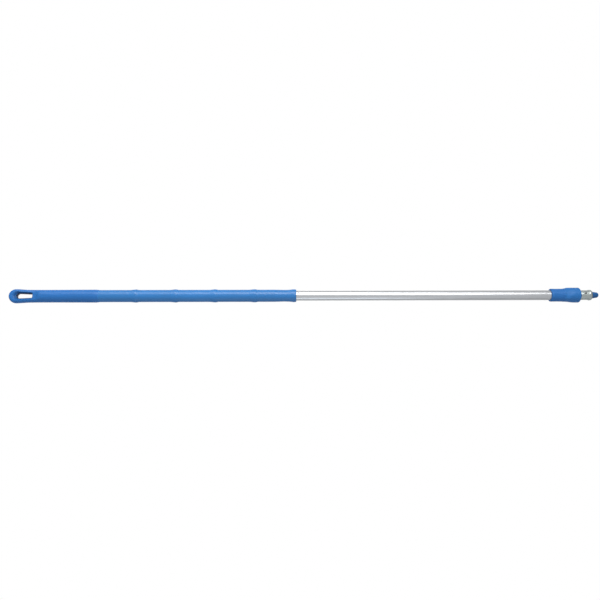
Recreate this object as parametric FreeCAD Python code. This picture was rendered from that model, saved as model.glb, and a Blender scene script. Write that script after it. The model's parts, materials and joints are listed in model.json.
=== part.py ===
import FreeCAD, Part

import math
import os

# Telescopic boat-hook pole, collapsed and lying flat, in millimetres.
# The pole's axis is X: the hanging eye is at -X and the head fitting at +X. +Z is up and the eye's hole runs
# along Z. The origin is on the axis, in the middle of the collapsed pole.

Vector = FreeCAD.Vector
ORIGIN = Vector(0, 0, 0)
X_AXIS = Vector(1, 0, 0)
Y_AXIS = Vector(0, 1, 0)
Z_AXIS = Vector(0, 0, 1)

# Driving dimensions
COLLAPSED_LENGTH = 1575.0
TRAVEL = 1205.0
OUTER_TUBE_R = 13.0
INNER_TUBE_R = 11.0
TUBE_WALL = 1.2
RUN_GAP = 0.05
BOND_GAP = 0.02

# Stations along X
TIP_X = COLLAPSED_LENGTH / 2
BUTT_X = -TIP_X
HANDLE_FRONT_X = BUTT_X + 241.4
GRIP_FRONT_X = BUTT_X + 768.1
TUBE_REAR_X = BUTT_X + 87.5
TUBE_FRONT_X = TIP_X - 96.2
COLLAR_REAR_X = TIP_X - 128.0
COLLAR_FRONT_X = TIP_X - 50.0
FERRULE_REAR_X = COLLAR_FRONT_X + 1.3
GUIDE_REAR_X = TUBE_FRONT_X - 78.0
INNER_REAR_X = GUIDE_REAR_X - TRAVEL
INNER_FRONT_X = TIP_X - 24.5

# Tube bores
OUTER_BORE_R = OUTER_TUBE_R - TUBE_WALL
INNER_BORE_R = INNER_TUBE_R - TUBE_WALL

# Hand grip and hanging eye
EYE_R = 19.0
EYE_HALF_THICKNESS = 12.0
NECK_X = BUTT_X + 52.5
NECK_R = 17.15
WAIST_X = BUTT_X + 108.5
WAIST_R = 16.85
HANDLE_FRONT_R = 17.25
SLOT_REAR_X = BUTT_X + 20.9
SLOT_REAR_R = 7.0
SLOT_FRONT_X = BUTT_X + 63.5
SLOT_FRONT_HALF = 5.4
SLOT_CORNER_R = 3.0
BEVEL_REAR_X = BUTT_X + 14.0
BEVEL_REAR_R = 11.6
BEVEL_FRONT_X = BUTT_X + 67.4
BEVEL_FRONT_HALF = 8.6
BEVEL_CORNER_R = 4.6
BEVEL_DEPTH = 6.6
BEVEL_EDGE_R = 0.8
RAMP_X = BUTT_X + 71.2

# Grip sleeve
SLEEVE_R = 16.2
RIB_HEIGHT = 1.3
RIB_PITCH = 105.9
RIB_COUNT = 4
FIRST_RIB_X = HANDLE_FRONT_X + 98.8
FLARE_R = 17.2

# Twist lock
LOCK_REAR_X = COLLAR_REAR_X + 2.0
LOCK_FRONT_X = TUBE_FRONT_X + 10.5
LOCK_R = 14.5
THREAD_PITCH = 3.0
THREAD_TURNS = 4.5
THREAD_REAR_X = LOCK_REAR_X + 11.0
THREAD_CREST_R = 15.4
THREAD_BORE_R = 15.6
THREAD_MINOR_R = 14.7
THREAD_FRONT_X = LOCK_REAR_X + 26.1
STOP_GROOVE_X = LOCK_REAR_X + 27.2
STOP_GROOVE_WIDTH = 1.5
STOP_GROOVE_R = 14.0
CHAMBER_R = 16.0
COLLAR_R = 17.25
MOUTH_R = OUTER_TUBE_R + 0.8
MOUTH_LIP = 0.85
COLLAR_GRIP_R = 19.9
COLLAR_GRIP_REAR_X = COLLAR_REAR_X + 34.0
COLLAR_WALL_FRONT_X = COLLAR_FRONT_X - 7.2
CAP_REAR_X = COLLAR_FRONT_X - 10.15
CAP_CHAMFER_X = COLLAR_FRONT_X - 5.2
CAP_FRONT_X = COLLAR_FRONT_X - 1.0
CAP_FRONT_R = 13.0
WIPER_REAR_X = CAP_REAR_X + 3.45
WIPER_FRONT_X = CAP_FRONT_X - 2.2
WIPER_SEAT_R = 13.0
LOCK_PIN_X = LOCK_REAR_X + 6.0
LOCK_PIN_R = 1.5

# Collet and pressure ring
COLLET_BASE_X = TUBE_FRONT_X + 1.6
CONE_REAR_X = TUBE_FRONT_X + 16.0
CONE_FRONT_X = TUBE_FRONT_X + 32.0
CONE_REAR_R = 14.6
CONE_FRONT_R = 12.6
RING_REAR_X = CONE_REAR_X + 2.0

# Head fitting at the tip
FERRULE_R = 12.75
BEAD_R = 14.05
BEAD_REAR_X = TIP_X - 26.4
BEAD_FRONT_X = TIP_X - 21.9
FERRULE_FRONT_X = TIP_X - 18.6
NOSE_BASE_R = 9.1
NOSE_TIP_R = 7.1
BUTTON_X = TIP_X - 37.0
BUTTON_R = 2.2
BUTTON_TOP_R = 15.6
BUTTON_CLOCK = -12.6
FERRULE_PIN_X = TIP_X - 29.7
FERRULE_PIN_R = 1.25

# Slide bearing at the inner tube's rear end
GUIDE_FLANGE_R = 11.6
GUIDE_GROOVE_R = 9.5
GLIDE_RING_WIDTH = 6.8
REAR_PIN_X = INNER_REAR_X + 15.0
REAR_PIN_R = 1.5


def smooth_curve(points):
    curve = Part.BSplineCurve()
    curve.interpolate(points)
    return curve.toShape()


def outline(start, *steps):
    """
    Face in the XY plane. A step is one point to draw a line to, a pair with the middle and end of an arc, or a
    longer list of points for a smooth curve.
    """
    edges = []
    here = Vector(*start, 0)
    for step in steps + (start,):
        if isinstance(step[0], tuple):
            places = [here] + [Vector(*place, 0) for place in step]
            edges.append(Part.Arc(*places).toShape() if len(step) == 2 else smooth_curve(places))
            here = places[-1]
        else:
            end = Vector(*step, 0)
            edges.append(Part.makeLine(here, end))
            here = end
    return Part.Face(Part.Wire(edges))


def turned(start, *steps):
    """Solid of revolution about X; outline points are (x, radius)."""
    return outline(start, *steps).revolve(ORIGIN, X_AXIS, 360)


def rod(x0, x1, radius):
    return Part.makeCylinder(radius, x1 - x0, Vector(x0, 0, 0), X_AXIS)


def tube(x0, x1, outer_r, inner_r):
    return rod(x0, x1, outer_r).cut(rod(x0, x1, inner_r))


def block(x0, x1, y0, y1, z0, z1):
    return Part.makeBox(x1 - x0, y1 - y0, z1 - z0, Vector(x0, y0, z0))


def turn_about_x(shape, degrees):
    """Copy of the shape, turned about the pole's axis."""
    copy = shape.copy()
    copy.rotate(ORIGIN, X_AXIS, degrees)
    return copy


def spoke(x, radius, r0, r1, degrees):
    """Round pin or drill standing radially between r0 and r1; 0 degrees is +Z, 90 is -Y."""
    return turn_about_x(Part.makeCylinder(radius, r1 - r0, Vector(x, 0, r0), Z_AXIS), degrees)


def pair(shape):
    """The shape and its copy on the opposite side of the pole, as one group of separate solids."""
    return Part.makeCompound([shape, turn_about_x(shape, 180)])


def thread_rib(x, base_r, crest_r):
    """Right-hand helical rib of trapezoid section, standing from base_r to crest_r, inwards or outwards."""
    base_half = 0.85
    crest_half = 0.35
    helix = Part.makeHelix(THREAD_PITCH, THREAD_TURNS * THREAD_PITCH, base_r)
    corners = [
        Vector(base_r, 0, -base_half),
        Vector(crest_r, 0, -crest_half),
        Vector(crest_r, 0, crest_half),
        Vector(base_r, 0, base_half),
    ]
    section = Part.makePolygon(corners + corners[:1])
    rib = Part.Wire(helix).makePipeShell([section], True, True)
    rib.rotate(ORIGIN, Y_AXIS, 90)
    rib.translate(Vector(x, 0, 0))
    return rib


# Handle: hand grip, sleeve and outer tube


def eye_flat_cutter():
    """Space above the eye: flat over the slot, then a ramp up to the round hand grip."""
    rear_x = BUTT_X - 5.0
    ramp_top_x = RAMP_X + 15.0
    high = EYE_R + 3.0
    low = EYE_HALF_THICKNESS
    face = outline(
        (rear_x, low),
        (RAMP_X, low),
        ((RAMP_X + 6.0, low + 1.3), (RAMP_X + 11.0, low + 4.4)),
        (ramp_top_x, high),
        (rear_x, high),
    )
    face.rotate(ORIGIN, X_AXIS, 90)
    return face.extrude(Vector(0, 2 * EYE_R + 4.0, 0)).translated(Vector(0, -EYE_R - 2.0, 0))


def slot_outline(share, z):
    """Outline of the eye's slot at a height: share 0 is its straight part, and share 1 its bevel's outer edge."""

    def between(straight, bevelled):
        return straight + (bevelled - straight) * share

    rear_r = between(SLOT_REAR_R, BEVEL_REAR_R)
    rear_x = between(SLOT_REAR_X, BEVEL_REAR_X) + rear_r
    corner_r = between(SLOT_CORNER_R, BEVEL_CORNER_R)
    front_x = between(SLOT_FRONT_X, BEVEL_FRONT_X)
    corner_x = front_x - corner_r
    corner_y = between(SLOT_FRONT_HALF, BEVEL_FRONT_HALF) - corner_r
    apart = math.hypot(corner_x - rear_x, corner_y)
    lean = math.atan2(corner_y, corner_x - rear_x) + math.acos((rear_r - corner_r) / apart)
    out_x = math.cos(lean)
    out_y = math.sin(lean)
    side_rear = (rear_x + rear_r * out_x, rear_r * out_y)
    side_front = (corner_x + corner_r * out_x, corner_y + corner_r * out_y)
    diagonal = corner_r * math.sqrt(0.5)
    face = outline(
        side_rear,
        ((rear_x - rear_r, 0), (side_rear[0], -side_rear[1])),
        (side_front[0], -side_front[1]),
        ((corner_x + diagonal, -corner_y - diagonal), (front_x, -corner_y)),
        (front_x, corner_y),
        ((corner_x + diagonal, corner_y + diagonal), side_front),
    )
    return face.translated(Vector(0, 0, z))


def eye_slot():
    """Through slot: a round rear end, sides that close in towards the front, and rounded front corners."""
    return slot_outline(0, -2 * EYE_R).extrude(Vector(0, 0, 4 * EYE_R))


def slot_bevel():
    """Steep bevel round the slot, on the upper face: widest at the rear end, and drawn on a little above the face."""
    over = 0.3
    low = slot_outline(0, EYE_HALF_THICKNESS - BEVEL_DEPTH)
    high = slot_outline(1 + over, EYE_HALF_THICKNESS + over * BEVEL_DEPTH)
    return Part.makeLoft([low.OuterWire, high.OuterWire], True, True)


def on_flat(edge):
    """True for an edge that lies whole in one of the eye's two flat faces."""
    box = edge.BoundBox
    return box.ZLength < 0.01 and abs(abs(box.ZMin) - EYE_HALF_THICKNESS) < 0.01


def around_slot(edge):
    box = edge.BoundBox
    inside = BEVEL_REAR_R + 0.3
    return on_flat(edge) and box.YMax < inside and box.YMin > -inside and box.XMax < BEVEL_FRONT_X + 0.3


def handle_end():
    eye_x = BUTT_X + EYE_R
    lip_x = HANDLE_FRONT_X - 10.0
    blank = turned(
        (BUTT_X, 0),
        ((eye_x - EYE_R * math.sqrt(0.5), EYE_R * math.sqrt(0.5)), (eye_x, EYE_R)),
        [
            (eye_x + 6.0, EYE_R - 0.12),
            (eye_x + 18.0, EYE_R - 0.95),
            (NECK_X, NECK_R),
            (WAIST_X - 25.0, WAIST_R + 0.05),
            (WAIST_X, WAIST_R),
            (WAIST_X + 60.0, WAIST_R + 0.2),
            (lip_x, HANDLE_FRONT_R),
        ],
        ((lip_x + 6.0, HANDLE_FRONT_R - 0.3), (HANDLE_FRONT_X, SLEEVE_R + 0.15)),
        (HANDLE_FRONT_X, 0),
    )
    flat = eye_flat_cutter()
    body = blank.cut([flat, turn_about_x(flat, 180)])
    bevel = slot_bevel()
    body = body.cut([eye_slot(), bevel, turn_about_x(bevel, 180)])
    rims = [edge for edge in body.Edges if around_slot(edge)]
    body = body.makeFillet(BEVEL_EDGE_R, rims)
    socket = rod(TUBE_REAR_X - 2.5, HANDLE_FRONT_X, OUTER_TUBE_R + BOND_GAP)
    return body.cut(socket)


def sleeve_radius(x):
    """Outer radius of the grip sleeve: slow rise to each rib, quick fall behind it, and a flared end."""
    rise = 18.0
    fall = 9.0
    radius = SLEEVE_R
    for rib in range(RIB_COUNT):
        offset = x - FIRST_RIB_X - rib * RIB_PITCH
        if -rise < offset < fall:
            reach = rise if offset < 0 else fall
            radius += RIB_HEIGHT * (1 + math.cos(math.pi * offset / reach)) / 2
    return radius


def grip_sleeve():
    crest_x = GRIP_FRONT_X - 6.0
    waist_x = GRIP_FRONT_X - 31.0
    waist_r = SLEEVE_R - 0.6
    step = 3.0
    bore_r = OUTER_TUBE_R + BOND_GAP
    count = int((waist_x - 26.0 - HANDLE_FRONT_X) / step)
    skin = [(HANDLE_FRONT_X + step * i, sleeve_radius(HANDLE_FRONT_X + step * i)) for i in range(1, count + 1)]
    skin += [(waist_x - 12.0, SLEEVE_R - 0.3), (waist_x, waist_r), (waist_x + 10.0, waist_r + 0.3)]
    skin += [(crest_x - 5.0, FLARE_R - 0.35), (crest_x, FLARE_R)]
    return turned(
        (HANDLE_FRONT_X, SLEEVE_R),
        skin,
        ((GRIP_FRONT_X - 1.6, FLARE_R - 0.45), (GRIP_FRONT_X, FLARE_R - 1.6)),
        (GRIP_FRONT_X, bore_r),
        (HANDLE_FRONT_X, bore_r),
    )


def outer_tube():
    body = tube(TUBE_REAR_X, TUBE_FRONT_X, OUTER_TUBE_R, OUTER_BORE_R)
    drill = spoke(LOCK_PIN_X, LOCK_PIN_R + BOND_GAP, 0, OUTER_TUBE_R + 2, 90)
    return body.cut([drill, turn_about_x(drill, 180)])


def butt_plug():
    """Sealing plug in the outer tube's rear end: it keeps water out of the handle."""
    body_r = OUTER_BORE_R - BOND_GAP
    flange_x = TUBE_REAR_X - 2.0
    return turned(
        (flange_x, 0),
        (flange_x, OUTER_TUBE_R - 0.2),
        (TUBE_REAR_X, OUTER_TUBE_R - 0.2),
        (TUBE_REAR_X, body_r),
        (TUBE_REAR_X + 36.0, body_r),
        (TUBE_REAR_X + 38.0, body_r - 2.0),
        (TUBE_REAR_X + 38.0, body_r - 3.5),
        (TUBE_REAR_X + 12.0, body_r - 3.5),
        (TUBE_REAR_X + 12.0, 0),
    )


# Twist lock, fixed parts


def front_guide():
    """Liner in the outer tube's mouth: the inner tube runs in it, and its rear end stops the telescope."""
    bore_r = INNER_TUBE_R + RUN_GAP
    liner_r = OUTER_BORE_R - BOND_GAP
    flange_x = TUBE_FRONT_X + 1.5
    flange_r = OUTER_TUBE_R - 0.1
    return turned(
        (GUIDE_REAR_X, bore_r),
        (GUIDE_REAR_X, liner_r),
        (TUBE_FRONT_X, liner_r),
        (TUBE_FRONT_X, flange_r),
        (flange_x, flange_r),
        (flange_x, bore_r),
    )


def lock_body():
    """Threaded sleeve pinned over the outer tube's front end."""
    body = rod(LOCK_REAR_X, LOCK_FRONT_X, LOCK_R)
    body = body.fuse(thread_rib(THREAD_REAR_X, LOCK_R - 0.3, THREAD_CREST_R))
    body = body.cut(rod(LOCK_REAR_X, LOCK_FRONT_X, OUTER_TUBE_R + BOND_GAP))
    groove = tube(STOP_GROOVE_X, STOP_GROOVE_X + STOP_GROOVE_WIDTH, LOCK_R + 2.0, STOP_GROOVE_R)
    drill = spoke(LOCK_PIN_X, LOCK_PIN_R + BOND_GAP, 0, LOCK_R + 2.0, 90)
    return body.cut([groove, drill, turn_about_x(drill, 180)])


def lock_pins():
    return pair(spoke(LOCK_PIN_X, LOCK_PIN_R, OUTER_BORE_R + 0.1, LOCK_R - 0.1, 90))


def stop_ring():
    """Open clip in the lock body's groove: it stops the collar from being unscrewed."""
    side = 0.05
    ring_r = CHAMBER_R - 0.1
    opening = 6.0
    x0 = STOP_GROOVE_X + side
    x1 = STOP_GROOVE_X + STOP_GROOVE_WIDTH - side
    ring = tube(x0, x1, ring_r, STOP_GROOVE_R + BOND_GAP)
    return ring.cut(block(x0 - 1, x1 + 1, -opening, opening, 0, ring_r + 1))


def collet():
    """Split cone: its six fingers grip the inner tube when the pressure ring is pushed up the cone."""
    finger_count = 6
    slit = 1.2
    bore_r = INNER_TUBE_R + RUN_GAP
    base_r = OUTER_TUBE_R - RUN_GAP
    shoulder_x = LOCK_FRONT_X + RUN_GAP
    body = turned(
        (COLLET_BASE_X, bore_r),
        (COLLET_BASE_X, base_r),
        (shoulder_x, base_r),
        (shoulder_x, CONE_REAR_R),
        (CONE_REAR_X, CONE_REAR_R),
        (CONE_FRONT_X, CONE_FRONT_R),
        (CONE_FRONT_X, bore_r),
    )
    cutter = block(COLLET_BASE_X + 4.0, CONE_FRONT_X + 1, -slit / 2, slit / 2, bore_r - 1, CONE_REAR_R + 1)
    return body.cut([turn_about_x(cutter, 360 / finger_count * i) for i in range(finger_count)])


# Twist lock, moving parts


def pressure_ring():
    """Ring between the collar's cap and the collet's cone."""
    outer_r = CHAMBER_R - 0.1
    slope = (CONE_REAR_R - CONE_FRONT_R) / (CONE_FRONT_X - CONE_REAR_X)
    gap = 0.06
    rear_r = CONE_REAR_R - slope * (RING_REAR_X - CONE_REAR_X) + gap
    front_r = CONE_FRONT_R + gap
    front_x = CAP_REAR_X - RUN_GAP
    return turned(
        (RING_REAR_X, rear_r),
        (RING_REAR_X, outer_r),
        (front_x, outer_r),
        (front_x, front_r),
        (CONE_FRONT_X, front_r),
    )


def twist_collar():
    """Hard nut of the collar, with a thin lip round the tube at its rear and the thread in its middle."""
    edge = 2.3
    bend = edge * (1 - math.sqrt(0.5))
    shell = turned(
        (COLLAR_REAR_X, MOUTH_R),
        (COLLAR_REAR_X, COLLAR_R - edge),
        ((COLLAR_REAR_X + bend, COLLAR_R - bend), (COLLAR_REAR_X + edge, COLLAR_R)),
        (COLLAR_WALL_FRONT_X, COLLAR_R),
        (COLLAR_WALL_FRONT_X, CHAMBER_R),
        (THREAD_FRONT_X, CHAMBER_R),
        (THREAD_FRONT_X, THREAD_BORE_R),
        (COLLAR_REAR_X + MOUTH_LIP, THREAD_BORE_R),
        (COLLAR_REAR_X + MOUTH_LIP, MOUTH_R),
    )
    return shell.fuse(thread_rib(THREAD_REAR_X + THREAD_PITCH / 2, THREAD_BORE_R + 0.3, THREAD_MINOR_R))


def collar_cap():
    """Ring bonded into the collar's front: it pushes the pressure ring and holds the wiper seal."""
    outer_r = CHAMBER_R - BOND_GAP
    bore_r = INNER_TUBE_R + 0.5
    return turned(
        (CAP_REAR_X, bore_r),
        (CAP_REAR_X, outer_r),
        (CAP_CHAMFER_X, outer_r),
        (CAP_FRONT_X, CAP_FRONT_R),
        (CAP_FRONT_X, bore_r),
        (WIPER_FRONT_X, bore_r),
        (WIPER_FRONT_X, WIPER_SEAT_R),
        (WIPER_REAR_X, WIPER_SEAT_R),
        (WIPER_REAR_X, bore_r),
    )


def wiper_seal():
    """Rubber ring with two lips that keep grit out of the collet."""
    seat_r = WIPER_SEAT_R - BOND_GAP
    lip_r = INNER_TUBE_R + 0.08
    rear_x = WIPER_REAR_X + RUN_GAP
    front_x = WIPER_FRONT_X - RUN_GAP
    middle_x = (rear_x + front_x) / 2
    return turned(
        (rear_x, lip_r),
        (rear_x, seat_r),
        (front_x, seat_r),
        (front_x, lip_r),
        (middle_x, lip_r + 0.8),
    )


def collar_grip():
    """Soft band over the collar: three rear scallops for the fingers and a blunt domed front."""
    inner_r = COLLAR_R + BOND_GAP
    front_x = COLLAR_FRONT_X
    corner_x = front_x - 4.0
    mouth_r = INNER_TUBE_R + 1.4
    lip_r = mouth_r + 1.5
    rear_x = COLLAR_GRIP_REAR_X
    scallop_count = 3
    band = turned(
        (rear_x, inner_r),
        (rear_x, inner_r + 0.4),
        [
            (rear_x + 2.0, inner_r + 0.5),
            (rear_x + 6.0, inner_r + 1.45),
            (rear_x + 10.0, inner_r + 2.4),
            (rear_x + 12.5, COLLAR_GRIP_R),
        ],
        (corner_x, COLLAR_GRIP_R),
        ((corner_x + 1.0, COLLAR_GRIP_R - 0.4), (corner_x + 1.5, COLLAR_GRIP_R - 1.3)),
        ((front_x - 1.1, COLLAR_GRIP_R - 3.2), (front_x, lip_r)),
        (front_x, mouth_r),
        (CAP_FRONT_X + BOND_GAP, mouth_r),
        (CAP_FRONT_X + BOND_GAP, CAP_FRONT_R + BOND_GAP),
        (CAP_CHAMFER_X + BOND_GAP, CHAMBER_R),
        (COLLAR_WALL_FRONT_X + BOND_GAP, CHAMBER_R),
        (COLLAR_WALL_FRONT_X + BOND_GAP, inner_r),
    )
    groove_r = 24.0
    groove = Part.makeCone(groove_r, groove_r - 2.6, 26.0, Vector(rear_x + 4.0, 0, 0), X_AXIS)
    groove.translate(Vector(0, 0, -(COLLAR_R + groove_r + 0.4)))
    cutters = [turn_about_x(groove, -79 + 360 / scallop_count * i) for i in range(scallop_count)]
    return band.cut(cutters)


# Inner section


def glide_ring():
    """Split bearing ring that carries the inner tube's rear end inside the outer tube."""
    side = 0.1
    front_x = INNER_REAR_X - 4.0 - side
    rear_x = front_x - GLIDE_RING_WIDTH
    ring = tube(rear_x, front_x, OUTER_BORE_R - RUN_GAP, GUIDE_GROOVE_R + RUN_GAP)
    slit = 1.5
    return ring.cut(block(rear_x - 1, front_x + 1, -slit / 2, slit / 2, 0, OUTER_TUBE_R))


def inner_tube():
    body = tube(INNER_REAR_X, INNER_FRONT_X, INNER_TUBE_R, INNER_BORE_R)
    rear_drill = spoke(REAR_PIN_X, REAR_PIN_R + BOND_GAP, 0, INNER_TUBE_R + 1, 0)
    drills = [
        rear_drill,
        turn_about_x(rear_drill, 180),
        spoke(FERRULE_PIN_X, FERRULE_PIN_R + BOND_GAP, -INNER_TUBE_R - 1, INNER_TUBE_R + 1, 90),
        spoke(BUTTON_X, BUTTON_R + 0.15, 0, INNER_TUBE_R + 1, BUTTON_CLOCK),
    ]
    return body.cut(drills)


def rear_guide():
    """Plug in the inner tube's rear end: front flange, groove for the glide ring, rear flange."""
    flange = 4.0
    groove = GLIDE_RING_WIDTH + 0.2
    x = INNER_REAR_X
    spigot_r = INNER_BORE_R - BOND_GAP
    vent_r = 4.0
    body = turned(
        (x + 30.0, vent_r),
        (x + 30.0, spigot_r - 1.0),
        (x + 29.0, spigot_r),
        (x, spigot_r),
        (x, GUIDE_FLANGE_R),
        (x - flange, GUIDE_FLANGE_R),
        (x - flange, GUIDE_GROOVE_R),
        (x - flange - groove, GUIDE_GROOVE_R),
        (x - flange - groove, GUIDE_FLANGE_R),
        (x - 2 * flange - groove, GUIDE_FLANGE_R),
        (x - 2 * flange - groove, vent_r),
    )
    drill = spoke(REAR_PIN_X, REAR_PIN_R + BOND_GAP, vent_r - 1.5, INNER_TUBE_R, 0)
    return body.cut([drill, turn_about_x(drill, 180)])


def rear_guide_pins():
    below_surface = 0.2
    return pair(spoke(REAR_PIN_X, REAR_PIN_R, 5.0, INNER_TUBE_R - below_surface, 0))


def tip_ferrule():
    """Metal sleeve over the inner tube's front end, with the bead that the head's socket fits."""
    bore_r = INNER_TUBE_R + BOND_GAP
    seat_x = INNER_FRONT_X + 2.0
    soft = 0.5
    rear_edge = 1.0
    front_edge = FERRULE_FRONT_X - BEAD_FRONT_X
    bend = 1 - math.sqrt(0.5)
    rear_bend = bend * rear_edge
    front_bend = bend * front_edge
    body = turned(
        (FERRULE_REAR_X, bore_r),
        (FERRULE_REAR_X, FERRULE_R - soft),
        (FERRULE_REAR_X + soft, FERRULE_R),
        (BEAD_REAR_X, FERRULE_R),
        (BEAD_REAR_X, BEAD_R - rear_edge),
        ((BEAD_REAR_X + rear_bend, BEAD_R - rear_bend), (BEAD_REAR_X + rear_edge, BEAD_R)),
        (BEAD_FRONT_X, BEAD_R),
        ((FERRULE_FRONT_X - front_bend, BEAD_R - front_bend), (FERRULE_FRONT_X, BEAD_R - front_edge)),
        (FERRULE_FRONT_X, NOSE_BASE_R + BOND_GAP),
        (seat_x, NOSE_BASE_R + BOND_GAP),
        (seat_x, bore_r),
    )
    drills = [
        spoke(FERRULE_PIN_X, FERRULE_PIN_R + BOND_GAP, -BEAD_R, BEAD_R, 90),
        spoke(BUTTON_X, BUTTON_R + 0.15, 0, BEAD_R, BUTTON_CLOCK),
    ]
    return body.cut(drills)


def nose_plug():
    """Cone that closes the pole's end: its flange is held between the inner tube and the ferrule."""
    spigot_x = INNER_FRONT_X - 7.8
    spigot_r = INNER_BORE_R - BOND_GAP
    flange_x = INNER_FRONT_X + 1.95
    cone_x = TIP_X - 16.0
    round_x = TIP_X - 4.0
    body = turned(
        (spigot_x, 0),
        (spigot_x, spigot_r),
        (INNER_FRONT_X, spigot_r),
        (INNER_FRONT_X, INNER_TUBE_R - 0.1),
        (flange_x, INNER_TUBE_R - 0.1),
        (flange_x, NOSE_BASE_R),
        (cone_x, NOSE_BASE_R),
        (round_x, NOSE_TIP_R),
        ((TIP_X - 1.0, NOSE_TIP_R - 1.6), (TIP_X, NOSE_TIP_R - 3.9)),
        (TIP_X, 0),
    )
    return body.cut(spoke(FERRULE_PIN_X, FERRULE_PIN_R + BOND_GAP, -INNER_TUBE_R, INNER_TUBE_R, 90))


def ferrule_pin():
    half = FERRULE_R - 0.1
    return spoke(FERRULE_PIN_X, FERRULE_PIN_R, -half, half, 90)


def button_spring():
    """Bent strip inside the inner tube: its lower arm rests on the bore, its upper arm lifts the button."""
    thick = 0.6
    half_width = 2.8
    front_x = BUTTON_X + 3.4
    low_z = -8.9
    high_z = 7.6
    path = [
        (front_x, low_z),
        (BUTTON_X - 38.0, low_z),
        (BUTTON_X - 40.5, low_z + 1.2),
        (BUTTON_X - 40.5, low_z + 3.0),
        (BUTTON_X - 9.0, high_z),
        (front_x, high_z),
    ]
    pieces = []
    for (x0, z0), (x1, z1) in zip(path, path[1:]):
        length = math.hypot(x1 - x0, z1 - z0)
        leaf = Part.makeBox(length, 2 * half_width, thick, Vector(0, -half_width, -thick / 2))
        leaf.rotate(ORIGIN, Y_AXIS, -math.degrees(math.atan2(z1 - z0, x1 - x0)))
        pieces.append(leaf.translated(Vector(x0, 0, z0)))
    for x, z in path[1:-1]:
        pieces.append(Part.makeCylinder(thick / 2, 2 * half_width, Vector(x, -half_width, z), Y_AXIS))
    strip = pieces[0].multiFuse(pieces[1:]).removeSplitter()
    return turn_about_x(strip, BUTTON_CLOCK)


def snap_button():
    """Sprung button that latches a head on the ferrule: a domed pin on a flange under the tube's wall."""
    flange_r = 3.1
    flange_z = 8.0
    pin_z = 8.9
    dome = 0.9
    dome_r = (BUTTON_R**2 + dome**2) / (2 * dome)
    half_angle = math.asin(BUTTON_R / dome_r) / 2
    dome_middle = (dome_r * math.sin(half_angle), BUTTON_TOP_R - dome_r * (1 - math.cos(half_angle)))
    face = outline(
        (0, flange_z),
        (flange_r, flange_z),
        (flange_r, pin_z),
        (BUTTON_R, pin_z),
        (BUTTON_R, BUTTON_TOP_R - dome),
        (dome_middle, (0, BUTTON_TOP_R)),
    )
    face.rotate(ORIGIN, X_AXIS, 90)
    body = face.revolve(ORIGIN, Z_AXIS, 360)
    return turn_about_x(body.translated(Vector(BUTTON_X, 0, 0)), BUTTON_CLOCK)


PARTS = [
    handle_end,
    grip_sleeve,
    outer_tube,
    butt_plug,
    front_guide,
    lock_body,
    lock_pins,
    stop_ring,
    collet,
    pressure_ring,
    twist_collar,
    collar_cap,
    wiper_seal,
    collar_grip,
    glide_ring,
    inner_tube,
    rear_guide,
    rear_guide_pins,
    tip_ferrule,
    nose_plug,
    ferrule_pin,
    button_spring,
    snap_button,
]

os.makedirs("parts", exist_ok=True)
for make in PARTS:
    make().exportStep(f"parts/{make.__name__}.step")
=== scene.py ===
import json
import math

import bmesh
import bpy
from mathutils import Matrix, Quaternion, Vector


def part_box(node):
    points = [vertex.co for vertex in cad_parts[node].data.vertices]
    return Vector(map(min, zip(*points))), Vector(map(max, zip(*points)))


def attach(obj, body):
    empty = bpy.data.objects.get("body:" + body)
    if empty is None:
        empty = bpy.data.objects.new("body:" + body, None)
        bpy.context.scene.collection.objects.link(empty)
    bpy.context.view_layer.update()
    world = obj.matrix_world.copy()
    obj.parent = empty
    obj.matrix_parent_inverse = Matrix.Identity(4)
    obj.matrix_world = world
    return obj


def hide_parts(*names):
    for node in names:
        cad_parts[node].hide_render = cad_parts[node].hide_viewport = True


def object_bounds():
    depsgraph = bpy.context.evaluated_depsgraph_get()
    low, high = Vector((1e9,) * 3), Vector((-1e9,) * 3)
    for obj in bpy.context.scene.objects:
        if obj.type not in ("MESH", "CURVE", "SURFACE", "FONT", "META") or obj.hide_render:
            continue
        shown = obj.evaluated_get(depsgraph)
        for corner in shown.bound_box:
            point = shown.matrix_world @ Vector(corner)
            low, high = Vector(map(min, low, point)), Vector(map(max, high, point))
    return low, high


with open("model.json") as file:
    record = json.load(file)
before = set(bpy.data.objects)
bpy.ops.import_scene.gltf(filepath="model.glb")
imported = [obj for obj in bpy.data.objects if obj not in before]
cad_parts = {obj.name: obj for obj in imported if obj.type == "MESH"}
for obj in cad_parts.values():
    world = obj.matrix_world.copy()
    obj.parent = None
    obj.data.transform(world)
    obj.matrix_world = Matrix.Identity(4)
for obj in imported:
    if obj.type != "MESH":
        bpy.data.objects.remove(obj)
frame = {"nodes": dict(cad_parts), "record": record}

CAD_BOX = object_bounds()

# The pieces are drawn in millimetres round the pole's axis X, and become metres when a mesh is made.
MM = 0.001
SEGMENTS = 128
BUTTON_CLOCK = 12.6

# Camera: angles in degrees, lengths in millimetres, and the width of the view at the pole
CAMERA_ELEVATION = 79.0
CAMERA_DISTANCE = 1500.0
CAMERA_ROLL = -0.117
PICTURE_WIDTH = 1607.0
AIM_X = -9.5
AIM_DROP = 11.5

# Studio: the floor's drop below the part in millimetres, and the strength of the light from all round
FLOOR_DROP = 260.0
KEY_SWING = -18.0
ROOM_LIGHT = 0.64


# Reading the frame


def span(node):
    """Where a CAD node starts and ends along X, in mm."""
    low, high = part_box(node)
    return low.x / MM, high.x / MM


def reach(node, pick=max):
    """Largest (or, with min, smallest) distance of a CAD node's surface from the pole's axis, in mm."""
    return pick(math.hypot(v.co.y, v.co.z) for v in frame["nodes"][node].data.vertices) / MM


# Mesh tools


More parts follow.
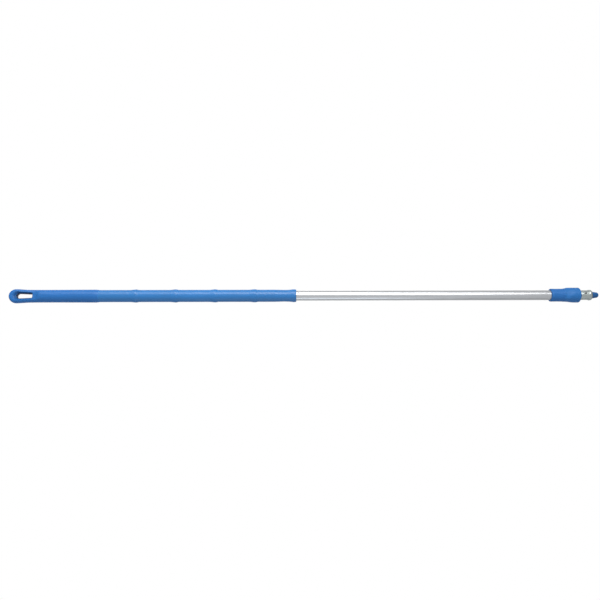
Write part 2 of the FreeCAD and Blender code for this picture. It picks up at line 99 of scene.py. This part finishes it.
def rounded(corners, steps=5):
    """Outline through (x, radius, fillet) corners, with each fillet drawn as an arc of points."""
    line = []
    count = len(corners)
    for i, (x, r, fillet) in enumerate(corners):
        here = Vector((x, r))
        if fillet <= 0:
            line.append((x, r))
            continue
        before = (Vector(corners[i - 1][:2]) - here).normalized()
        after = (Vector(corners[(i + 1) % count][:2]) - here).normalized()
        half = before.angle(after) / 2
        reach_along = fillet / math.tan(half)
        centre = here + (before + after).normalized() * (fillet / math.sin(half))
        start = here + before * reach_along - centre
        end = here + after * reach_along - centre
        turn = start.angle_signed(end)
        for step in range(steps + 1):
            share = -turn * step / steps
            point = centre + Matrix.Rotation(share, 2) @ start
            line.append((point.x, point.y))
    return line


def smooth_line(points, step):
    """Points along a smooth curve through (x, y) points, at even steps of x, with no overshoot."""
    xs = [p[0] for p in points]
    ys = [p[1] for p in points]
    slopes = [(ys[i + 1] - ys[i]) / (xs[i + 1] - xs[i]) for i in range(len(xs) - 1)]
    tangents = [slopes[0]]
    for left, right in zip(slopes, slopes[1:]):
        tangents.append(0.0 if left * right <= 0 else 2 * left * right / (left + right))
    tangents.append(slopes[-1])
    line = []
    for i in range(len(slopes)):
        width = xs[i + 1] - xs[i]
        count = max(1, round(width / step))
        for k in range(count):
            t = k / count
            a = 2 * t**3 - 3 * t**2 + 1
            b = t**3 - 2 * t**2 + t
            c = 3 * t**2 - 2 * t**3
            d = t**3 - t**2
            y = a * ys[i] + b * width * tangents[i] + c * ys[i + 1] + d * width * tangents[i + 1]
            line.append((xs[i] + width * t, y))
    return line + [points[-1]]


def make_piece(name, bm):
    """Turns a bmesh into an object in the scene, with its faces pointing outwards."""
    bmesh.ops.recalc_face_normals(bm, faces=bm.faces)
    mesh = bpy.data.meshes.new(name)
    bm.to_mesh(mesh)
    bm.free()
    piece = bpy.data.objects.new(name, mesh)
    bpy.context.scene.collection.objects.link(piece)
    return piece


def skin(name, rings, segments=SEGMENTS):
    """
    Piece around the X axis from (x, radius) rings in mm. A radius may be a function of the angle from +Z. A
    radius of 0 closes an end, and rings with no such end are joined into a loop.
    """
    bm = bmesh.new()
    loops = []
    for x, radius in rings:
        if radius == 0:
            loops.append([bm.verts.new((x * MM, 0, 0))])
            continue
        loop = []
        for i in range(segments):
            angle = 2 * math.pi * i / segments
            r = (radius(angle) if callable(radius) else radius) * MM
            loop.append(bm.verts.new((x * MM, r * math.sin(angle), r * math.cos(angle))))
        loops.append(loop)
    closed = len(loops[0]) > 1 and len(loops[-1]) > 1
    followers = loops[1:] + loops[:1] if closed else loops[1:]
    for first, second in zip(loops, followers):
        for i in range(segments):
            j = (i + 1) % segments
            near = [first[i % len(first)], first[j % len(first)]]
            far = [second[j % len(second)], second[i % len(second)]]
            bm.faces.new(list(dict.fromkeys(near + far)))
    return make_piece(name, bm)


def prism(name, outlines):
    """Closed piece from a stack of outlines, each a list of (x, y, z) in mm with the same count."""
    bm = bmesh.new()
    layers = [[bm.verts.new(Vector(p) * MM) for p in outline] for outline in outlines]
    for low, high in zip(layers, layers[1:]):
        for i in range(len(low)):
            j = (i + 1) % len(low)
            bm.faces.new((low[i], low[j], high[j], high[i]))
    bm.faces.new(reversed(layers[0]))
    bm.faces.new(layers[-1])
    return make_piece(name, bm)


def carve(piece, cutter):
    """Cuts the cutter out of the piece and removes the cutter."""
    cut = piece.modifiers.new("cut", "BOOLEAN")
    cut.object = cutter
    cut.operation = "DIFFERENCE"
    cut.solver = "EXACT"
    bpy.context.view_layer.update()
    graph = bpy.context.evaluated_depsgraph_get()
    mesh = bpy.data.meshes.new_from_object(piece.evaluated_get(graph))
    piece.modifiers.clear()
    piece.data = mesh
    bpy.data.objects.remove(cutter)


def smooth(piece, sharp_degrees=40):
    """Smooth shading, except across edges sharper than the angle."""
    piece.data.shade_smooth()
    piece.data.set_sharp_from_angle(angle=math.radians(sharp_degrees))


def spoke(name, x, radius, low, high, clock):
    """Round pin standing out from the axis, at a clock angle in degrees from +Z towards +Y."""
    sides = 24
    angles = [2 * math.pi * i / sides for i in range(sides)]
    turn = Matrix.Rotation(math.radians(-clock), 3, "X")
    layers = []
    for z in (low, high):
        points = [(radius * math.cos(angle), radius * math.sin(angle), z) for angle in angles]
        layers.append([tuple(turn @ Vector(p) + Vector((x, 0, 0))) for p in points])
    return prism(name, layers)


def install(piece, body, slot_name, material, *nodes):
    """Gives the piece its material, its CAD body and the CAD nodes it stands for."""
    piece.data.materials.clear()
    piece.data.materials.append(material)
    smooth(piece)
    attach(piece, body)
    if nodes:
        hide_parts(*nodes)


# Materials


class Shader:
    """A node material built step by step; every pattern is in the piece's own space, in metres."""

    def __init__(self, name, colour, roughness, metallic=0.0):
        """Starts from one surface with even values."""
        self.material = bpy.data.materials.new(name)
        self.material.use_nodes = True
        self.material.diffuse_color = (*colour, 1)
        self.tree = self.material.node_tree
        self.base = self.tree.nodes["Principled BSDF"]
        self.base.inputs["Base Color"].default_value = (*colour, 1)
        self.base.inputs["Roughness"].default_value = roughness
        self.base.inputs["Metallic"].default_value = metallic
        self.place = self.node("ShaderNodeTexCoord").outputs["Object"]

    def node(self, kind, **settings):
        """New node with the settings given."""
        made = self.tree.nodes.new(kind)
        for key, value in settings.items():
            setattr(made, key, value)
        return made

    def link(self, source, target):
        """Joins two sockets."""
        self.tree.links.new(source, target)
        return source

    def noise(self, scale, detail=4.0, rough=0.55):
        """Noise value with its own scale along each axis, in cycles per metre."""
        stretch = self.node("ShaderNodeMapping")
        self.link(self.place, stretch.inputs["Vector"])
        stretch.inputs["Scale"].default_value = scale
        pattern = self.node("ShaderNodeTexNoise")
        self.link(stretch.outputs["Vector"], pattern.inputs["Vector"])
        pattern.inputs["Scale"].default_value = 1.0
        pattern.inputs["Detail"].default_value = detail
        pattern.inputs["Roughness"].default_value = rough
        return pattern.outputs["Fac"]

    def remap(self, value, low, high, from_low=0.3, from_high=0.7):
        """The value's stretch from from_low to from_high, spread from low to high and clamped there."""
        ramp = self.node("ShaderNodeMapRange")
        self.link(value, ramp.inputs["Value"])
        ramp.inputs["From Min"].default_value = from_low
        ramp.inputs["From Max"].default_value = from_high
        ramp.inputs["To Min"].default_value = low
        ramp.inputs["To Max"].default_value = high
        return ramp.outputs["Result"]

    def tint(self, share, first, second):
        """Colour between two colours (or colour outputs)."""
        mix = self.node("ShaderNodeMix", data_type="RGBA")
        self.link(share, mix.inputs["Factor"])
        for socket, colour in ((mix.inputs[6], first), (mix.inputs[7], second)):
            if isinstance(colour, tuple):
                socket.default_value = (*colour, 1)
            else:
                self.link(colour, socket)
        return mix.outputs[2]

    def times(self, first, second):
        """Product of a value and a number or another value."""
        product = self.node("ShaderNodeMath", operation="MULTIPLY")
        self.link(first, product.inputs[0])
        if isinstance(second, float):
            product.inputs[1].default_value = second
        else:
            self.link(second, product.inputs[1])
        return product.outputs[0]

    def bump(self, height, distance, strength=1.0):
        """Adds relief of the given depth in mm on top of any relief already there."""
        relief = self.node("ShaderNodeBump")
        relief.inputs["Distance"].default_value = distance * MM
        relief.inputs["Strength"].default_value = strength
        self.link(height, relief.inputs["Height"])
        normal = self.base.inputs["Normal"]
        if normal.links:
            self.link(normal.links[0].from_socket, relief.inputs["Normal"])
        self.link(relief.outputs["Normal"], normal)

    def edges(self):
        """1 on worn outer edges, 0 elsewhere."""
        shape = self.node("ShaderNodeNewGeometry").outputs["Pointiness"]
        return self.remap(shape, 0.0, 1.0, 0.52, 0.60)

    def painted_hollow_shade(self, near, samples=8):
        """Painted shade: 1 in the open, falling to 0 where surfaces up to near mm away close it in."""
        painted_crease_shade = self.node("ShaderNodeAmbientOcclusion", samples=samples)
        painted_crease_shade.inputs["Distance"].default_value = near * MM
        return self.remap(painted_crease_shade.outputs["AO"], 0.0, 1.0, 0.42, 0.97)


def shade(colour, factor):
    """The colour made darker or brighter."""
    return tuple(min(1.0, c * factor) for c in colour)


def moulded(name, colour, roughness, grain=0.012, grain_scale=2600.0, sheen=0.0, painted_crease_shade=0.0, gloss=0.45):
    """
    Moulded plastic or rubber: fine spark grain, soft colour drift, scuffed and paler edges. The grain is a
    depth in mm, and the crease shade is how far off, in mm, a surface still paints shade into a hollow.
    """
    speck_share = 0.12
    wear_share = 0.35
    painted_shade_dark = 0.08
    s = Shader(name, colour, roughness)
    drift = s.noise((9, 26, 26), detail=3.0)
    fine = s.noise((grain_scale,) * 3, detail=2.0)
    scuff = s.noise((140, 420, 420), detail=5.0, rough=0.65)
    body = s.tint(s.remap(drift, 0.0, 1.0), shade(colour, 0.93), shade(colour, 1.06))
    specks = s.remap(fine, 0.0, 1.0, 0.25, 0.75)
    speckled = s.tint(s.times(specks, speck_share), body, shade(colour, 1.35))
    wear_and_painted_shade = s.tint(s.times(s.edges(), wear_share), speckled, shade(colour, 1.5))
    # Painted shade: ambient occlusion darkens the colour in hollows and creases, where the lamps would
    # shade.
    if painted_crease_shade:
        wear_and_painted_shade = s.tint(s.painted_hollow_shade(painted_crease_shade), shade(colour, painted_shade_dark), wear_and_painted_shade)
    s.link(wear_and_painted_shade, s.base.inputs["Base Color"])
    s.link(s.remap(scuff, roughness - 0.06, roughness + 0.07), s.base.inputs["Roughness"])
    s.base.inputs["Specular IOR Level"].default_value = gloss
    if sheen:
        s.base.inputs["Sheen Weight"].default_value = sheen
        s.base.inputs["Sheen Roughness"].default_value = 0.4
    s.bump(fine, grain)
    s.bump(scuff, grain * 2.5, 0.5)
    return s.material


def drawn_metal(name, colour, roughness, anisotropy=0.5):
    """Drawn tube: long fine lines along the axis, with faint rub marks round it."""
    line_share = 0.35
    line_depth = 0.006
    spread = 0.07
    s = Shader(name, colour, roughness, metallic=1.0)
    lines = s.noise((3.0, 1500, 1500), detail=4.0, rough=0.6)
    coarse = s.noise((0.8, 160, 160), detail=3.0)
    rubs = s.noise((240, 14, 14), detail=4.0, rough=0.7)
    tone = s.tint(s.remap(coarse, 0.0, 1.0), shade(colour, 0.95), shade(colour, 1.04))
    streaks = s.times(s.remap(lines, 0.0, 1.0), line_share)
    s.link(s.tint(streaks, tone, shade(colour, 0.86)), s.base.inputs["Base Color"])
    rough = s.node("ShaderNodeMath", operation="ADD")
    s.link(s.remap(lines, roughness - spread, roughness + spread), rough.inputs[0])
    s.link(s.remap(rubs, 0.0, 0.05, 0.6, 0.8), rough.inputs[1])
    s.link(rough.outputs[0], s.base.inputs["Roughness"])
    s.base.inputs["Anisotropic"].default_value = anisotropy
    tangent = s.node("ShaderNodeTangent", direction_type="RADIAL", axis="X")
    s.link(tangent.outputs["Tangent"], s.base.inputs["Tangent"])
    s.bump(lines, line_depth)
    return s.material


def turned_metal(name, colour, roughness, depth=0.006):
    """Lathe-turned metal: fine rings round the axis and brighter worn edges."""
    wear_share = 0.6
    spread = 0.08
    s = Shader(name, colour, roughness, metallic=1.0)
    rings = s.noise((5200, 8, 8), detail=3.0, rough=0.6)
    stains = s.noise((60, 90, 90), detail=4.0)
    tone = s.tint(s.remap(stains, 0.0, 1.0), shade(colour, 0.88), shade(colour, 1.05))
    wear = s.times(s.edges(), wear_share)
    s.link(s.tint(wear, tone, shade(colour, 1.3)), s.base.inputs["Base Color"])
    s.link(s.remap(rings, roughness - spread, roughness + spread), s.base.inputs["Roughness"])
    s.bump(rings, depth)
    return s.material


SOFT_RUBBER = {"grain": 0.016, "grain_scale": 1900.0, "sheen": 0.05}

# Each material slot's colour and roughness
MATERIALS = {
    "satin_aluminium": drawn_metal("satin_aluminium", (0.72, 0.73, 0.74), 0.30),
    "turned_aluminium": turned_metal("turned_aluminium", (0.575, 0.63, 0.61), 0.31),
    # The handle's blue carries painted shade in its hollows, from surfaces up to 26 mm away.
    "handle_blue": moulded("handle_blue", (0.010, 0.147, 0.462), 0.45, painted_crease_shade=26.0, gloss=0.52),
    "sleeve_blue": moulded("sleeve_blue", (0.015, 0.173, 0.480), 0.40, gloss=0.62, **SOFT_RUBBER),
    "collar_blue": moulded("collar_blue", (0.013, 0.138, 0.425), 0.52),
    "collar_soft_blue": moulded("collar_soft_blue", (0.015, 0.150, 0.440), 0.50, **SOFT_RUBBER),
    "nose_navy": moulded("nose_navy", (0.013, 0.098, 0.290), 0.38, grain=0.006),
    "white_bearing_plastic": moulded("white_bearing_plastic", (0.78, 0.78, 0.73), 0.35, grain=0.004),
    "black_plastic": moulded("black_plastic", (0.018, 0.018, 0.020), 0.42),
    "black_rubber": moulded("black_rubber", (0.012, 0.012, 0.012), 0.62, grain=0.02),
    "steel": turned_metal("steel", (0.45, 0.46, 0.47), 0.28, depth=0.003),
    "dark_steel": turned_metal("dark_steel", (0.16, 0.16, 0.165), 0.35, depth=0.002),
}


# Pieces: handle


def tube_rings(x0, x1, outer, inner, chamfer=0.3):
    """Rings of an open tube with chamfered ends, split along its length into even bands."""
    band = 40.0
    count = max(1, round((x1 - x0) / band))
    middle = [x0 + chamfer + (x1 - x0 - 2 * chamfer) * i / count for i in range(count + 1)]
    outside = [(x, outer) for x in middle]
    inside = [(x, inner) for x in reversed(middle)]
    front = [(x1, outer - chamfer), (x1, inner + chamfer)]
    rear = [(x0, inner + chamfer), (x0, outer - chamfer)]
    return outside + front + inside + rear


def handle_end():
    """Hand grip with the hanging eye: round section, flattened at the eye, with a bevelled slot."""
    x0, x1 = span("handle_end")
    # Known fault: the grip's rear tip lies on the axis, so this comes out as 0, where the CAD's socket is
    # 13.02. The piece is solid where the tube should sit.
    bore = reach("handle_end", min)
    plug_gap = 0.5
    tube_x = span("butt_plug")[0] - plug_gap
    eye_r = 19.0
    eye_half = 12.0
    eye_rings = 24
    neck_r = 17.15
    lip_r = 17.25
    end_r = 16.3
    end_edge = 0.6
    waist_r = 16.85
    ramp_x = x0 + 72.0
    ramp_curve = 0.045
    squareness = 9

    def radius(x):
        """Half width seen from above: a round rear end, then the taper."""
        if x < x0 + eye_r:
            return math.sqrt(max(0.0, eye_r**2 - (x0 + eye_r - x) ** 2))
        return side(x)

    taper = smooth_line(
        [
            (x0 + eye_r, eye_r),
            (x0 + eye_r + 8, eye_r - 0.25),
            (x0 + 37, eye_r - 0.95),
            (x0 + 52.5, neck_r),
            (x0 + 83, waist_r + 0.05),
            (x0 + 108.5, waist_r),
            (x0 + 170, waist_r + 0.2),
            (x1 - 10, lip_r),
            (x1 - 5.5, lip_r - 0.25),
            (x1, end_r),
        ],
        2.0,
    )

    def side(x):
        """Half width along the taper."""
        for (xa, ra), (xb, rb) in zip(taper, taper[1:]):
            if x <= xb:
                return ra + (rb - ra) * (x - xa) / (xb - xa)
        return taper[-1][1]

    def flat(x):
        """Half height of the flats, which run out forwards of the eye."""
        rise = max(0.0, x - ramp_x)
        return eye_half + ramp_curve * rise**2

    def section(x):
        """Cross-section at x: round, with the flats blended in."""
        around = radius(x)
        high = flat(x)

        def at(angle):
            """Radius at an angle from +Z."""
            tall = high / max(1e-6, abs(math.cos(angle)))
            return (around**-squareness + tall**-squareness) ** (-1 / squareness)

        return at

    turns = [math.radians(90 * step / eye_rings) for step in range(1, eye_rings)]
    along = [x0 + eye_r * (1 - math.cos(turn)) for turn in turns] + [x for x, _ in taper]
    rings = [(x0, 0)] + [(x, section(x)) for x in along]
    rings += [(x1, end_r - end_edge), (x1, bore), (tube_x, bore), (tube_x, 0)]
    piece = skin("handle_end", rings)
    carve(piece, slot_cutter(x0, eye_half))
    install(piece, "handle", "handle_blue", MATERIALS["handle_blue"], "handle_end")


def slot_cutter(x0, face_z):
    """
    Cutter for the eye's slot, which narrows towards the front and has a steep bevel on both faces. The
    straight outline holds in the middle and the bevelled one at the faces, with a rim rounded by soft mm.
    """
    bevel_depth = 6.6
    soft = 0.8
    above = 2.0
    straight = {"rear_x": 20.9, "rear_r": 7.0, "front_x": 63.5, "front_half": 5.4, "corner_r": 3.0}
    bevelled = {"rear_x": 14.0, "rear_r": 11.6, "front_x": 67.4, "front_half": 8.6, "corner_r": 4.6}
    rim = ((0.55, -0.06), (0.2, 0.22), (0.04, 0.5), (0.0, 0.8))
    flare = 2.0
    rows = 8
    stack = [(step / rows, face_z - bevel_depth * (1 - step / rows), 0.0) for step in range(rows)]
    stack += [(1.0, face_z - below * soft, out * soft) for below, out in rim]
    stack.append((1.0, face_z + above, flare * soft))
    layers = []
    for sign, ordered in ((-1, stack[::-1]), (1, stack)):
        for share, z, grow in ordered:
            sizes = {key: straight[key] + (bevelled[key] - straight[key]) * share for key in straight}
            layers.append([(x0 + x, y, sign * z) for x, y in slot_outline(grow=grow, **sizes)])
    return prism("slot_cutter", layers)


def slot_outline(rear_x, rear_r, front_x, front_half, corner_r, grow):
    """
    Points (x, y) round the slot: a round rear end, straight sides that close in towards the front, and
    rounded front corners. The whole outline is moved outwards by grow.
    """
    centre_x = rear_x + rear_r
    corner_x = front_x - corner_r
    corner_y = front_half - corner_r
    lean = math.atan2(corner_y, corner_x - centre_x)
    lean += math.acos((rear_r - corner_r) / math.hypot(corner_y, corner_x - centre_x))
    rear_steps = 60
    corner_steps = 14
    points = []
    for step in range(rear_steps + 1):
        angle = lean + (2 * math.pi - 2 * lean) * step / rear_steps
        r = rear_r + grow
        points.append((centre_x + r * math.cos(angle), r * math.sin(angle)))
    for side in (-1, 1):
        start, end = (2 * math.pi - lean, 2 * math.pi) if side < 0 else (0.0, lean)
        for step in range(corner_steps + 1):
            angle = start + (end - start) * step / corner_steps
            r = corner_r + grow
            points.append((corner_x + r * math.cos(angle), side * corner_y + r * math.sin(angle)))
    return points


def grip_sleeve():
    """Soft sleeve: four ribs that rise slowly and fall quickly towards the front, and a flared end."""
    x0, x1 = span("grip_sleeve")
    bore = reach("grip_sleeve", min)
    base_r = 16.2
    rib_height = 1.35
    rib_pitch = 105.9
    first_rib = x0 + 98.8
    flare_r = 17.2
    ribs = 4
    rise = 17.0
    fall = 8.0
    step = 1.5

    def radius(x):
        """Radius at x, with a rounded rise and fall at each rib."""
        r = base_r
        for rib in range(ribs):
            offset = x - first_rib - rib * rib_pitch
            if -rise < offset < fall:
                length = rise if offset < 0 else fall
                r += rib_height * (1 + math.cos(math.pi * offset / length)) / 2
        return r

    waist_x = x1 - 31.0
    plain_end = waist_x - 26.0
    count = int((plain_end - x0) / step)
    outer = [(x0 + step * i, radius(x0 + step * i)) for i in range(count + 1)]
    tail = smooth_line(
        [
            (outer[-1][0] + step, base_r),
            (waist_x - 8, base_r - 0.45),
            (waist_x, base_r - 0.6),
            (waist_x + 12, base_r - 0.2),
            (x1 - 10, flare_r - 0.3),
            (x1 - 5.5, flare_r),
            (x1 - 2.2, flare_r - 0.25),
        ],
        step,
    )
    soft_edge = [(x1 - 0.9, flare_r - 0.8), (x1 - 0.2, flare_r - 1.6), (x1, flare_r - 2.4)]
    inside = [(x1, bore + 0.6), (x1 - 0.4, bore), (x0, bore)]
    piece = skin("grip_sleeve", outer + tail + soft_edge + inside)
    install(piece, "handle", "sleeve_blue", MATERIALS["sleeve_blue"], "grip_sleeve")


def outer_tube():
    """Outer aluminium tube. Its holes for the lock pins, under the lock body, are left out."""
    x0, x1 = span("outer_tube")
    piece = skin("outer_tube", tube_rings(x0, x1, reach("outer_tube"), reach("outer_tube", min)))
    install(piece, "handle", "satin_aluminium", MATERIALS["satin_aluminium"], "outer_tube")


# Pieces: collar


def twist_collar():
    """
    Hard nut of the collar: waisted outside, with a thin lip round the tube. The thread is left out of this
    piece, because it is out of sight inside.
    """
    x0, x1 = span("twist_collar")
    r = 17.25
    edge = 2.3
    bore = 15.6
    chamber = 16.0
    mouth = 13.8
    lip_x = x0 + 0.85
    step_x = x0 + 28.1
    waist = smooth_line([(x0 + 3.2, r), (x0 + 18, r - 0.22), (x0 + 36, r - 0.05), (x1, r)], 2.0)
    corners = [(x0, mouth, 0.3), (x0, r, edge)]
    corners += [(x, y, 0) for x, y in waist]
    corners += [(x1, chamber, 0), (step_x, chamber, 0), (step_x, bore, 0)]
    corners += [(lip_x, bore, 0), (lip_x, mouth, 0.2)]
    piece = skin("twist_collar", rounded(corners))
    install(piece, "collar", "collar_blue", MATERIALS["collar_blue"], "twist_collar")


def collar_grip():
    """Soft band: a scalloped rear slope, a plain waist and a blunt front with a soft corner."""
    x0, x1 = span("collar_grip")
    inner = 17.27
    foot = inner + 0.35
    rear_edge = inner + 0.15
    top = 19.9
    scallops = 3
    clock = math.radians(259)
    slope_rings = [x0 + 0.5 + i for i in range(31)]
    mouth = 12.4
    shoulder = 15.6
    cap_r = 16.0
    cap_x = x1 - 7.18

    def slope(x, angle):
        """Radius on the rear slope, which starts and ends further forward between the scallops."""
        share = 0.5 + 0.5 * math.cos(scallops * (angle - clock))
        start = x0 + 4.0 * share
        end = x0 + 12.5 + 18.0 * share
        t = min(1.0, max(0.0, (x - start) / (end - start)))
        eased = t * t * (3 - 2 * t)
        return foot + (top - foot) * eased

    def ring(x):
        """The slope's radius at x, as a function of the angle."""
        return lambda angle: slope(x, angle)

    rear = [(x0, inner), (x0, rear_edge)] + [(x, ring(x)) for x in slope_rings]
    front = [(x1 - 8.2, top, 0), (x1 - 2.8, top, 1.6), (x1 - 0.7, shoulder, 3.0), (x1, mouth, 0)]
    inside = [(x1 - 0.9, mouth), (x1 - 0.98, 13.0), (x1 - 5.18, cap_r), (cap_x, cap_r), (cap_x, inner)]
    piece = skin("collar_grip", rear + rounded(front, 7) + inside)
    install(piece, "collar", "collar_soft_blue", MATERIALS["collar_soft_blue"], "collar_grip")


# Pieces: inner section


def inner_tube():
    """Inner aluminium tube. Its cross holes, under the ferrule and in the outer tube, are left out."""
    x0, x1 = span("inner_tube")
    outer = 11.0
    bore = 9.8
    piece = skin("inner_tube", tube_rings(x0, x1, outer, bore))
    install(piece, "inner_section", "satin_aluminium", MATERIALS["satin_aluminium"], "inner_tube")


def tip_ferrule():
    """
    Bright sleeve with a rounded bead; the button stands in a hole of its own. The ferrule pin's holes are
    left out, so the pin's ends do not show.
    """
    x0, x1 = span("tip_ferrule")
    land = 12.75
    bead = 14.05
    nose_base = 9.12
    bead_x = x1 - 7.8
    seat_x = x1 - 3.9
    bore = 11.02
    nose_round = 3.25
    hole_r = 2.35
    hole_low = 8.0
    hole_high = 16.0
    corners = [
        (x0, bore, 0.2),
        (x0, land, 0.6),
        (bead_x, land, 0.5),
        (bead_x + 1.3, bead, 1.0),
        (x1, bead, nose_round),
        (x1, nose_base, 0.2),
        (seat_x, nose_base, 0),
        (seat_x, bore, 0),
    ]
    piece = skin("tip_ferrule", rounded(corners))
    low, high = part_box("snap_button")
    button_x = (low.x + high.x) / 2 / MM
    carve(piece, spoke("button_hole", button_x, hole_r, hole_low, hole_high, BUTTON_CLOCK))
    install(piece, "inner_section", "turned_aluminium", MATERIALS["turned_aluminium"], "tip_ferrule")


def nose_plug():
    """Cone at the pole's end, with its flange and spigot. The ferrule pin's hole is left out."""
    x0, x1 = span("nose_plug")
    spigot_r = 9.75
    flange_r = 10.9
    flange_x = x1 - 24.5
    flange_end = flange_x + 1.95
    neck_r = 9.1
    neck_end = x1 - 16.0
    corners = [
        (x0, 0, 0),
        (x0, spigot_r, 0.4),
        (flange_x, spigot_r, 0),
        (flange_x, flange_r, 0.2),
        (flange_end, flange_r, 0.2),
        (flange_end, neck_r, 0),
        (neck_end, neck_r, 2.0),
        (x1 - 2.6, 6.9, 2.2),
        (x1, 5.0, 1.6),
        (x1, 0, 0),
    ]
    piece = skin("nose_plug", rounded(corners))
    install(piece, "inner_section", "nose_navy", MATERIALS["nose_navy"], "nose_plug")


def dress_frame():
    """Every CAD node still on show takes its slot's material."""
    for row in frame["record"]["subparts"]:
        node = frame["nodes"][row["node"]]
        if node.hide_render:
            continue
        node.data.materials.clear()
        node.data.materials.append(MATERIALS[row["material_slot"]])


# Studio


def area_light(name, place, aim, width, depth, power, swing=0.0, colour=(1, 1, 1)):
    """Soft box in metres, aimed at a point; swing turns it about its own aim, in degrees."""
    lamp = bpy.data.lights.new(name, "AREA")
    lamp.shape = "RECTANGLE"
    lamp.size = width
    lamp.size_y = depth
    lamp.energy = power
    lamp.color = colour
    holder = bpy.data.objects.new(name, lamp)
    holder.location = place
    holder.rotation_mode = "QUATERNION"
    facing = (Vector(aim) - Vector(place)).to_track_quat("-Z", "Y")
    holder.rotation_quaternion = facing @ Quaternion((0, 0, 1), math.radians(swing))
    bpy.context.scene.collection.objects.link(holder)


def studio():
    """
    Pale floor, light from all round, a long soft box behind the pole with a small one at its middle, and a
    cool fill from the front. Places and sizes are in metres.
    """
    low, _ = CAD_BOX
    size = 14.0
    floor_z = low.z - FLOOR_DROP * MM
    mesh = bpy.data.meshes.new("floor")
    corners = [(x * size, y * size, floor_z) for x, y in ((-1, -1), (1, -1), (1, 1), (-1, 1))]
    mesh.from_pydata(corners, [], [(0, 1, 2, 3)])
    floor = bpy.data.objects.new("floor", mesh)
    bpy.context.scene.collection.objects.link(floor)
    mesh.materials.append(white_sweep())

    bpy.context.scene.world = room()

    key_place = (-0.1, 1.35, 1.61)
    key_aim = (-0.1, 0, 0)
    area_light("key", key_place, key_aim, width=3.2, depth=0.8, power=38.0, swing=KEY_SWING)
    centre_place = (-0.05, 1.34, 1.55)
    centre_aim = (-0.05, 0, 0)
    area_light("key_centre", centre_place, centre_aim, width=0.7, depth=0.6, power=8.5)
    fill_place = (-0.1, -2.2, 0.3)
    cool = (0.82, 0.90, 1.0)
    area_light("fill", fill_place, key_aim, width=1.7, depth=0.9, power=4.4, colour=cool)


def room():
    """
    Soft light from all round, which falls off towards both ends of the pole, and more so at its front. The
    camera sees an evenly white backdrop.
    """
    front_falloff = (0.35, 0.95, 0.15)
    rear_falloff = (-0.35, -0.95, 0.60)
    world = bpy.data.worlds.new("room")
    world.use_nodes = True
    tree = world.node_tree
    sky = tree.nodes["Background"]
    sky.inputs["Color"].default_value = (0.95, 0.97, 1.0, 1)
    way = tree.nodes.new("ShaderNodeTexCoord")
    parts = tree.nodes.new("ShaderNodeSeparateXYZ")
    tree.links.new(way.outputs["Generated"], parts.inputs["Vector"])
    strength = tree.nodes.new("ShaderNodeMath")
    strength.operation = "MINIMUM"
    for i, (start, end, least) in enumerate((front_falloff, rear_falloff)):
        fall = tree.nodes.new("ShaderNodeMapRange")
        fall.inputs["From Min"].default_value = start
        fall.inputs["From Max"].default_value = end
        fall.inputs["To Min"].default_value = ROOM_LIGHT
        fall.inputs["To Max"].default_value = ROOM_LIGHT * least
        tree.links.new(parts.outputs["X"], fall.inputs["Value"])
        tree.links.new(fall.outputs["Result"], strength.inputs[i])
    tree.links.new(strength.outputs["Value"], sky.inputs["Strength"])

    backdrop = tree.nodes.new("ShaderNodeBackground")
    path = tree.nodes.new("ShaderNodeLightPath")
    blend = tree.nodes.new("ShaderNodeMixShader")
    tree.links.new(path.outputs["Is Camera Ray"], blend.inputs["Fac"])
    tree.links.new(sky.outputs["Background"], blend.inputs[1])
    tree.links.new(backdrop.outputs["Background"], blend.inputs[2])
    backdrop.inputs["Color"].default_value = (1, 1, 1, 1)
    tree.links.new(blend.outputs["Shader"], tree.nodes["World Output"].inputs["Surface"])
    return world


def white_sweep():
    """Pale floor: it lights the part like matt paper, and the camera sees it evenly white."""
    s = Shader("floor", (0.52, 0.52, 0.52), 0.9)
    glow = s.node("ShaderNodeEmission")
    glow.inputs["Color"].default_value = (1, 1, 1, 1)
    glow.inputs["Strength"].default_value = 1.0
    path = s.node("ShaderNodeLightPath")
    blend = s.node("ShaderNodeMixShader")
    s.link(path.outputs["Is Camera Ray"], blend.inputs["Fac"])
    s.link(s.base.outputs["BSDF"], blend.inputs[1])
    s.link(glow.outputs["Emission"], blend.inputs[2])
    s.link(blend.outputs["Shader"], s.tree.nodes["Material Output"].inputs["Surface"])
    return s.material


def camera():
    """Camera over the pole, tipped a little towards -Y, at a short distance that shows perspective."""
    tilt = math.radians(CAMERA_ELEVATION)
    back = Vector((0, -math.cos(tilt), math.sin(tilt)))
    up = Vector((0, math.sin(tilt), math.cos(tilt)))
    target = Vector((AIM_X * MM, 0, 0)) - up * AIM_DROP * MM
    lens = bpy.data.cameras.new("camera")
    lens.sensor_width = 36.0
    lens.lens = lens.sensor_width * CAMERA_DISTANCE / PICTURE_WIDTH
    lens.clip_start = 0.01
    holder = bpy.data.objects.new("camera", lens)
    holder.location = target + back * CAMERA_DISTANCE * MM
    holder.rotation_mode = "QUATERNION"
    roll = Matrix.Rotation(math.radians(CAMERA_ROLL), 3, back)
    facing = Matrix((Vector((1, 0, 0)), up, back)).transposed()
    holder.rotation_quaternion = (roll @ facing).to_quaternion()
    bpy.context.scene.collection.objects.link(holder)
    bpy.context.scene.camera = holder


handle_end()
grip_sleeve()
outer_tube()
twist_collar()
collar_grip()
inner_tube()
tip_ferrule()
nose_plug()
dress_frame()
studio()
camera()
bpy.context.scene.view_settings.view_transform = "Standard"
